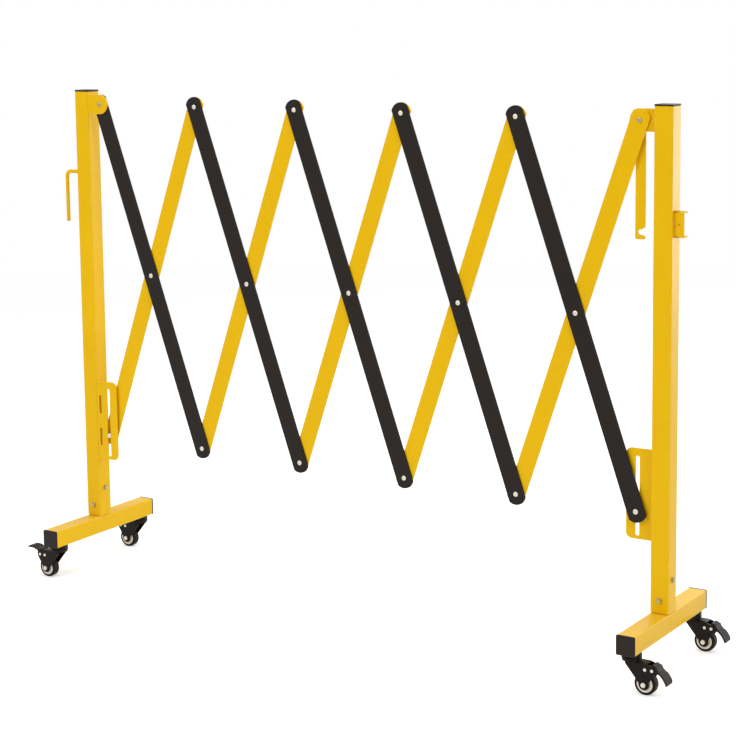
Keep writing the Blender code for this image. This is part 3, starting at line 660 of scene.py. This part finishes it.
bar_width = 0.035
bar_thickness = 0.003
layer_gap = 0.0003
bar_overhang = 0.020
bar_length = 0.732
bar_count = 5
end_share = 0.6
black_coat = coated("black_powder_coat", (0.0155, 0.0112, 0.0086), (0.040, 0.032, 0.027), 0.40, 0.16, 0.14)


def bar_skin(top, bottom):
    """Bar between two end pivots on its own centre line."""
    radius = bar_width * end_share
    spread = math.degrees(math.asin(bar_width / 2 / radius))
    outline = arc((0, top + bar_overhang - radius), radius, 90 - spread, 90 + spread, 18)
    outline += arc((0, bottom - bar_overhang + radius), radius, 270 - spread, 270 + spread, 18)
    return sheet_skin(outline, [], bar_thickness)


top_height = joint_place["lattice_fold"].z
half_rise = top_height - joint_place["crossing_1"].z
lean = math.acos(half_rise / (bar_length / 2))
yellow_front, yellow_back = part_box("yellow_bar_1")[0].y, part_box("yellow_bar_1")[1].y
black_front = yellow_front - layer_gap - bar_thickness
first_top, last_top = joint_place["lattice_fold"], joint_place["right_post_joint"]
top_places = [first_top.lerp(last_top, i / bar_count) for i in range(bar_count + 1)]
middle_places = [joint_place["crossing_%d" % i] for i in range(1, bar_count + 1)]
for i, (top, middle) in enumerate(zip(top_places, middle_places), 1):
    put("black_bar_plate_%d" % i, bar_skin(0, -bar_length), black_coat, "black_bar_%d" % i,
        ["black_bar_%d" % i],
        Matrix.Translation((top.x, black_front, top.z)) @ Matrix.Rotation(-lean, 4, "Y"))
    put("yellow_bar_plate_%d" % i, bar_skin(bar_length / 2, -bar_length / 2), yellow_coat,
        "yellow_bar_%d" % i, ["yellow_bar_%d" % i],
        Matrix.Translation((middle.x, yellow_front, middle.z)) @ Matrix.Rotation(lean, 4, "Y"))

# ---- Lattice rivets ----
# Zinc plated steel rivets, set through the black bar and the yellow bar behind it. The dome in front has
# the small dimple of the setting tool, and the formed head shows behind.

rivet_zinc = plated("rivet_zinc", (0.60, 0.55, 0.46), (0.74, 0.69, 0.60), 0.32, 0.7)
rivet_head = 0.0047
rivet_rise = 0.0012
tail_rise = 0.0019
rivet_shank = 0.003
front_dimple, tail_dimple = 0.60, 0.20


def dome(radius, rise, dimple):
    """Half profile of a rivet dome from its rim to its middle, with a dimple."""
    points = [(radius, 0), (radius * 0.985, rise * 0.25)]
    for i in range(1, 7):
        angle = math.radians(15 * i)
        points.append((radius * (0.40 + 0.56 * math.cos(angle)), rise * (0.25 + 0.75 * math.sin(angle))))
    floor_rise = rise * (1 - dimple)
    return points + [(radius * 0.34, rise * 0.98), (radius * 0.28, floor_rise), (radius * 0.04, floor_rise)]


def pin_skin(head, shank, front, back, rise, tail, collar=None):
    """Pin or rivet along Y with a dome at both ends and a collar where the pack has a free layer."""
    front_half = [(radius, front - height) for radius, height in dome(head, rise, front_dimple)][::-1]
    back_half = [(radius, back + height) for radius, height in dome(head, tail, tail_dimple)]
    middle = []
    if collar:
        radius, start, end = collar
        middle = [(shank, start), (radius, start), (radius, end), (shank, end)]
    profile = front_half + [(shank, front)] + middle + [(shank, back)] + back_half
    return turned_about(disc_skin(profile), -90, "X")


rivet = pin_skin(rivet_head, rivet_shank, black_front, yellow_back + layer_gap, rivet_rise, tail_rise)
foot_height = top_height - 2 * half_rise
for i, (top, middle, foot) in enumerate(zip(top_places, middle_places, top_places[1:]), 1):
    spots = [("crossing_rivet_%d" % i, middle.x, middle.z)]
    if i > 1:
        spots.append(("top_rivet_%d" % (i - 1), top.x, top.z))
    if i < bar_count:
        spots.append(("foot_rivet_%d" % i, foot.x, foot_height))
    for name, x, z in spots:
        put(name, rivet, rivet_zinc, "black_bar_%d" % i, place=Matrix.Translation((x, 0, z)))

# ---- Pins at the posts ----
# Plated pins through the ears and the slots. The left top pin is long, because the latch strap's notch
# drops over its shank; the slot pins have a spacer collar where the other bar layer is missing.

pin_head = 0.0050
pin_rise = 0.0020
long_collar_end = -0.0046
slot_shank = 0.0037
slot_collar = 0.0048
pin_zinc = plated("pin_zinc", (0.36, 0.29, 0.17), (0.50, 0.42, 0.28), 0.36, 0.6)
for name, body, collar, shank, pivot_x, pivot_z in (
        ("top_pin_left", "left_frame", (pin_head, yellow_front, long_collar_end), top_pin_radius,
         first_top.x, top_height),
        ("top_pin_right", "right_frame", None, top_pin_radius, last_top.x, top_height),
        ("slot_pin_left", "yellow_bar_1", (slot_collar, black_front, black_front + bar_thickness),
         slot_shank, first_top.x, foot_height),
        ("slot_pin_right", "black_bar_5", (slot_collar, yellow_front, yellow_front + bar_thickness),
         slot_shank, last_top.x, foot_height)):
    low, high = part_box(name)
    mesh = pin_skin(pin_head, shank, low.y + pin_rise, high.y - pin_rise, pin_rise, pin_rise, collar)
    put(name.replace("pin", "stud"), mesh, pin_zinc if "top" in name else rivet_zinc, body,
        [name], Matrix.Translation((pivot_x, 0, pivot_z)))

# ---- Latch strap ----
# Yellow coated flat strip that hangs from the right top pin behind the bars. When the lattice is closed it
# swings over to the left top pin and its notch holds the two posts together.

seat = 0.0046
lip, lip_fall = 0.008, 0.0026
flare_in, flare_up = 0.0070, 0.0052
corner = 0.0030
low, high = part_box("latch_strap")
pivot = joint_place["latch_swing"]
half = (high.x - low.x) / 2
foot = low.z - pivot.z
notch = foot + lip + seat
lip_top = notch - seat - lip_fall
outline = arc((0, 0), half, 0, 180, 24) + [(-half, foot)]
outline += arc((half - corner, foot + corner), corner, -90, 0, 8)
outline += [(half, lip_top - 0.0008), (half - 0.0012, lip_top + 0.0006), (half - flare_in, notch - seat)]
outline += arc((0, notch), seat, 270, 90, 20)
outline += [(half - flare_in, notch + seat), (half, notch + seat + flare_up)]
put("latch_strip", sheet_skin(outline, [], high.y - low.y), yellow_coat, "latch_strap",
    ["latch_strap"], Matrix.Translation((pivot.x, low.y, pivot.z)))

# ---- Casters ----
# Small swivel casters on threaded stems: a pressed fork under a ball race, both painted black, a rubber
# tyre on a cream plastic hub, a plated axle bolt, and a dark plastic brake pedal between the side plates.

trail = 0.028
axle_height = joint_place["left_caster_front_spin"].z
fork_inner = 0.010
fork_plate = 0.002
fork_outer = fork_inner + fork_plate
crown_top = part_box("left_caster_front_fork")[1].z
rise = crown_top - axle_height
pivot_out, pivot_up = 0.043, 0.027
spacer_out = 0.030
running_gap = 0.0003
round_steps = 56
fork_paint = coated("fork_paint", (0.0065, 0.0042, 0.0030), (0.024, 0.018, 0.014), 0.34, 0.10, 0.13)
tyre_rubber = moulded("tyre_rubber", (0.0085, 0.0064, 0.0044), 0.50, 900, 0.30, 0.14)
hub_plastic = moulded("hub_plastic", (0.88, 0.80, 0.67), 0.38, 1600, 0.10)
pedal_plastic = moulded("pedal_plastic", (0.0200, 0.0150, 0.0130), 0.46, 1300, 0.30, 0.15)
axle_zinc = plated("axle_zinc", (0.62, 0.57, 0.48), (0.74, 0.69, 0.60), 0.30, 0.7)

fork_foot = 0.0095
fork_front = [(-0.27, 0.94), (1.10, 0.94), (1.24, 0.925), (1.42, 0.88), (1.62, 0.866), (1.74, 0.82),
              (1.80, 0.74), (1.74, 0.58), (1.42, 0.22)]
fork_back = [(0.652, 0.045), (0.48, 0.195), (0.38, 0.290), (-0.22, 0.800), (-0.27, 0.850)]
fork_outline = [(x * trail, axle_height + z * rise) for x, z in fork_front]
fork_outline += arc((trail, axle_height), fork_foot, 20, -176, 28)
fork_outline += [(x * trail, axle_height + z * rise) for x, z in fork_back]
side_plate = sheet_skin(fork_outline, [], fork_plate, 0.0004)
plates = [moved(side_plate.copy(), y=offset) for offset in (-fork_outer, fork_inner)]

roof_bend = 0.0026
roof_skirt = 0.0050
roof_lap = 0.00005
roof_top = axle_height + 0.975 * rise
roof_loops = []
for x, fall in ((-0.0074, 0), (0.0310, 0), (0.0335, 0.0006)):
    level = roof_top - fall
    skirt = level - roof_skirt
    bend_y, bend_z = fork_outer - roof_bend, level - roof_bend
    section = [(-fork_outer - roof_lap, skirt)] + arc((-bend_y, bend_z), roof_bend, 180, 90, 6)
    section += arc((bend_y, bend_z), roof_bend, 90, 0, 6) + [(fork_outer + roof_lap, skirt)]
    section += [(fork_inner, skirt), (fork_inner, level - fork_plate), (-fork_inner, level - fork_plate),
                (-fork_inner, skirt)]
    roof_loops.append([(x, y, z) for y, z in section])
crown = disc_skin([(0.0150, roof_top - 0.0012), (0.0168, roof_top - 0.0009), (0.0172, roof_top - 0.0002),
                   (0.0168, crown_top - 0.0002), (0.0155, crown_top)], round_steps)
fork_mesh = joined(plates + [bridged(roof_loops, capped=True), crown])

rivet_end = [(0.0008, 0.00125), (0.0020, 0.0012), (0.0028, 0.0007), (0.0031, -0.0002), (0.0020, -0.0003)]
brake_rivet = disc_skin([(radius, -fork_outer - out) for radius, out in rivet_end]
                        + [(radius, fork_outer + out) for radius, out in rivet_end[::-1]], 28)
brake_rivet = turned_about(brake_rivet, -90, "X")

axle_radius = 0.003
axle_head, axle_head_height = 0.0047, 0.0031
head_seat = fork_outer + running_gap
axle_end = head_seat + 0.0005
axle_heads = [turned_about(hex_skin(axle_head, axle_head_height), 90 * way, "X", (0, -way * head_seat, 0))
              for way in (1, -1)]
axle_shank = turned_about(disc_skin([(axle_radius, -axle_end), (axle_radius, axle_end)], 24), -90, "X")
axle_mesh = joined(axle_heads + [axle_shank])

wheel_radius = axle_height
tyre_half = 0.0085
shoulder = 0.0036
bore = 0.0152


def wheel_skin(half_profile):
    """Closed ring about Y from radius and width pairs of one half, mirrored to the other half."""
    profile = half_profile + [(radius, -width) for radius, width in half_profile[::-1]]
    return turned_about(bridged(turned_loops(profile, 72), closed=True), -90, "X")


tyre_side = [(bore, tyre_half - 0.0006), (bore + 0.0004, tyre_half - 0.0001),
             (bore + 0.0008, tyre_half - 0.0006)]
for i in range(9):
    angle = math.radians(90 * i / 8)
    tyre_side.append((wheel_radius - shoulder * (1 - math.sin(angle)),
                      tyre_half - shoulder * (1 - math.cos(angle))))
tyre_mesh = wheel_skin(tyre_side)
hub_mesh = wheel_skin([
    (0.0033, 0.0097), (0.0056, 0.0097), (0.0061, 0.0092), (0.0062, 0.0062), (0.0068, 0.0058),
    (0.0098, 0.0058), (0.0104, 0.0064), (0.0107, 0.0078), (0.0111, 0.0081), (0.0144, 0.0081),
    (0.0148, 0.0078)])

race_low = crown_top + running_gap
race_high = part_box("left_base")[0].z - running_gap
race_middle = (race_low + race_high) / 2
race_edge = [(0.0156, 0), (0.0173, 0.0004), (0.0180, 0.0014)]
race_gap = [(0.0180, 0.0016), (0.0174, 0.0008), (0.0164, 0.0005)]
kingpin_seat = crown_top - 0.0028
kingpin = [(0.0020, kingpin_seat - 0.0020), (0.0058, kingpin_seat - 0.0018), (0.0062, kingpin_seat - 0.0014),
           (0.0062, kingpin_seat), (0.0040, kingpin_seat), (0.0040, race_low)]
lower_ring = [(radius, race_low + out) for radius, out in race_edge]
lower_ring += [(radius, race_middle - out) for radius, out in race_gap]
upper_ring = [(radius, race_middle + out) for radius, out in race_gap[::-1]]
upper_ring += [(radius, race_high - out) for radius, out in race_edge[::-1]]
stem_end = [(0.0050, race_high), (0.0050, race_high + 0.0132), (0.0044, race_high + 0.0140)]
stem_mesh = disc_skin(kingpin + lower_ring + upper_ring + stem_end, round_steps)

pedal_length, pedal_plate, pedal_half = 0.034, 0.0032, 0.013
pedal_start = -0.06
pedal_round = 0.004
pedal_bend, bend_steps = 0.012, 4
end_drop, end_slope = 0.0006, 20
waist, waist_start, waist_run = 0.0012, 0.3, 0.12
groove_depth, groove_half = 0.0006, 0.0007
groove_places = (0.54, 0.62, 0.70, 0.78, 0.86)
tread_top = [(pedal_start, 0.0112), (0.16, 0.0108), (0.28, 0.0114), (0.46, 0.0138), (0.58, 0.0146),
             (0.80, 0.0146), (0.92, 0.0139), (1.00, 0.0124)]
stations = 96
pedal_press = math.radians(58)


def pedal_level(share):
    """Height of the pedal's tread over its pivot at a share of its length, with its bends rounded."""
    total = 0
    for i in range(-bend_steps, bend_steps + 1):
        place = min(max(share + i * pedal_bend, tread_top[0][0]), tread_top[-1][0])
        for (x0, z0), (x1, z1) in zip(tread_top, tread_top[1:]):
            if place <= x1:
                total += z0 + (z1 - z0) * (place - x0) / (x1 - x0)
                break
    return total / (2 * bend_steps + 1)


loops = []
for i in range(stations + 1):
    share = pedal_start + (1 - pedal_start) * i / stations
    into_end = max(pedal_round - (1 - share) * pedal_length, 0)
    end_round = pedal_round - math.sqrt(max(pedal_round ** 2 - into_end ** 2, 0))
    half = pedal_half - end_round - waist * (1 - min(max((share - waist_start) / waist_run, 0), 1))
    drop = end_drop * max(1 - min(share - pedal_start, 1 - share) * end_slope, 0)
    groove = max(groove_depth * (1 - abs(share - place) * pedal_length / groove_half)
                 for place in groove_places)
    level = pedal_level(share)
    top = level - drop
    edge = [(0.0004, level - pedal_plate), (0, level - pedal_plate + 0.0004), (0, level - 0.0011),
            (0.0004, level - 0.0004), (0.0012, top), (0.0026, top), (0.0030, top - max(groove, 0))]
    section = [(-half + inset, z) for inset, z in edge] + [(half - inset, z) for inset, z in edge[::-1]]
    loops.append([(share * pedal_length, y, z) for y, z in section])
tread_mesh = bridged(loops, capped=True)
lever_eye, lever_toe, lever_heel, lever_bore = 0.005, 0.0094, 0.0102, 0.0023
lever = arc((0, 0), lever_eye, 175, 230, 8) + arc((0, 0), lever_toe, 279, 296, 4)
lever += arc((0, 0), lever_eye, 320, 370, 8)
lever += [(0.40 * pedal_length, 0.0098)] + arc((0, 0), lever_heel, 92, 148, 7)
lever_half = fork_inner - running_gap
lever_mesh = moved(sheet_skin(lever, [circle(lever_bore, 20)], 2 * lever_half, 0.0005), y=-lever_half)
pedal_mesh = joined([tread_mesh, lever_mesh])

for side in sides:
    for end in ends:
        name = "%s_caster_%s" % (side, end)
        swivel = joint_place[name + "_swivel"]
        heading = Matrix.Rotation(math.pi if side == "left" else 0, 4, "Z")
        stand = Matrix.Translation((swivel.x, swivel.y, 0)) @ heading
        axle = stand @ Matrix.Translation((trail, 0, axle_height))
        press = 0 if side == "left" else pedal_press
        hinge = stand @ Matrix.Translation((pivot_out, 0, axle_height + pivot_up))
        hinge = hinge @ Matrix.Rotation(press, 4, "Y")
        put(name + "_race", stem_mesh, fork_paint, side + "_frame", [name + "_stem"], stand)
        put(name + "_legs", fork_mesh, fork_paint, name + "_swivel", [name + "_fork"], stand)
        for number, out in enumerate((spacer_out, pivot_out), 1):
            put("%s_brake_rivet_%d" % (name, number), brake_rivet, axle_zinc, name + "_swivel",
                place=stand @ Matrix.Translation((out, 0, axle_height + pivot_up)))
        put(name + "_axle_bolt", axle_mesh, axle_zinc, name + "_swivel", [name + "_axle"], axle)
        put(name + "_tread", tyre_mesh, tyre_rubber, name + "_wheel", [name + "_tyre"], axle)
        put(name + "_hub_disc", hub_mesh, hub_plastic, name + "_wheel", [name + "_hub"], axle)
        put(name + "_brake_pedal", pedal_mesh, pedal_plastic, name + "_brake",
            [name + "_pedal"], hinge)

# ---- Floor, light and camera ----
# A plain pale studio floor that fades into a white surround, soft lamps above and to the sides, and the
# camera at the photograph's place.

floor_radius = 9
floor_steps = 64
floor_lift = 0.385
surround_light = 0.42


def add_sight(nodes, links):
    """One where a camera, glossy or transmission ray arrives, and zero for the light that falls on pieces."""
    rays = nodes.new("ShaderNodeLightPath")
    sight = rays.outputs["Is Camera Ray"]
    for kind in ("Is Glossy Ray", "Is Transmission Ray"):
        either = nodes.new("ShaderNodeMath")
        either.operation = "MAXIMUM"
        links.new(sight, either.inputs[0])
        links.new(rays.outputs[kind], either.inputs[1])
        sight = either.outputs["Value"]
    return either


floor_rim = [(x, y, 0) for x, y in circle(floor_radius, floor_steps)]
floor_mesh = bridged([[(0, 0, 0)] * floor_steps, floor_rim])
floor = bpy.data.objects.new("studio_floor", floor_mesh)
bpy.context.scene.collection.objects.link(floor)
floor_look = bpy.data.materials.new("studio_floor")
floor_look.use_nodes = True
nodes, links = floor_look.node_tree.nodes, floor_look.node_tree.links
shader = nodes["Principled BSDF"]
shader.inputs["Base Color"].default_value = (0.93, 0.93, 0.93, 1)
shader.inputs["Roughness"].default_value = 0.9
shader.inputs["Specular IOR Level"].default_value = 0.1
place = nodes.new("ShaderNodeTexCoord")
distance = nodes.new("ShaderNodeVectorMath")
distance.operation = "LENGTH"
links.new(place.outputs["Object"], distance.inputs[0])
fade = nodes.new("ShaderNodeMapRange")
fade.inputs["From Min"].default_value = 1.6
fade.inputs["From Max"].default_value = 5.0
links.new(distance.outputs["Value"], fade.inputs["Value"])
clear = nodes.new("ShaderNodeBsdfTransparent")
blend = nodes.new("ShaderNodeMixShader")
seen_through = add_sight(nodes, links)
lift = nodes.new("ShaderNodeMath")
lift.operation = "MULTIPLY"
lift.inputs[1].default_value = floor_lift
links.new(seen_through.outputs["Value"], lift.inputs[0])
shader.inputs["Emission Color"].default_value = (1, 1, 1, 1)
links.new(lift.outputs["Value"], shader.inputs["Emission Strength"])
links.new(fade.outputs["Result"], blend.inputs["Fac"])
links.new(shader.outputs["BSDF"], blend.inputs[1])
links.new(clear.outputs["BSDF"], blend.inputs[2])
links.new(blend.outputs["Shader"], nodes["Material Output"].inputs["Surface"])
floor_mesh.materials.append(floor_look)

world = bpy.data.worlds.new("studio")
bpy.context.scene.world = world
world.use_nodes = True
nodes, links = world.node_tree.nodes, world.node_tree.links
surround = nodes["Background"]
surround.inputs["Color"].default_value = (1, 1, 1, 1)
seen_through = add_sight(nodes, links)
level = nodes.new("ShaderNodeMapRange")
level.inputs["To Min"].default_value = surround_light
level.inputs["To Max"].default_value = 1.0
links.new(seen_through.outputs["Value"], level.inputs["Value"])
links.new(level.outputs["Result"], surround.inputs["Strength"])


def lamp(name, place, aim, size, power):
    """Soft area lamp aimed at a point."""
    light = bpy.data.lights.new(name, "AREA")
    light.shape = "DISK"
    light.size = size
    light.energy = power
    holder = bpy.data.objects.new(name, light)
    bpy.context.scene.collection.objects.link(holder)
    holder.location = place
    holder.rotation_euler = (Vector(aim) - Vector(place)).to_track_quat("-Z", "Y").to_euler()


lamp("key_lamp", (-1.6, -3.0, 3.0), (0, 0, 0.45), 2.4, 64)
lamp("top_lamp", (0.2, 0.3, 3.4), (0, 0, 0.4), 2.6, 46)
lamp("side_lamp", (3.2, -1.2, 1.8), (0.3, 0, 0.5), 2.0, 26)
lamp("rear_lamp", (0.2, 3.6, 2.0), (0, 0, 0.5), 2.4, 40)
lamp("rim_lamp", (2.9, 5.4, 0.5), (0.67, 0, 0.5), 1.7, 66)

photo_width = 736
focal_length = 1921.5
sensor_width = 36
camera_data = bpy.data.cameras.new("studio_camera")
camera_data.lens = focal_length / photo_width * sensor_width
camera_data.sensor_width = sensor_width
camera_data.shift_x = -0.0707
camera_data.shift_y = -0.1495
camera_data.clip_start = 0.05
camera = bpy.data.objects.new("studio_camera", camera_data)
bpy.context.scene.collection.objects.link(camera)
camera.location = (2.0122, -3.0230, 1.1881)
camera.rotation_euler = (1.43555, 0.00779, 0.55005)
bpy.context.scene.camera = camera
bpy.context.scene.view_settings.view_transform = "Standard"
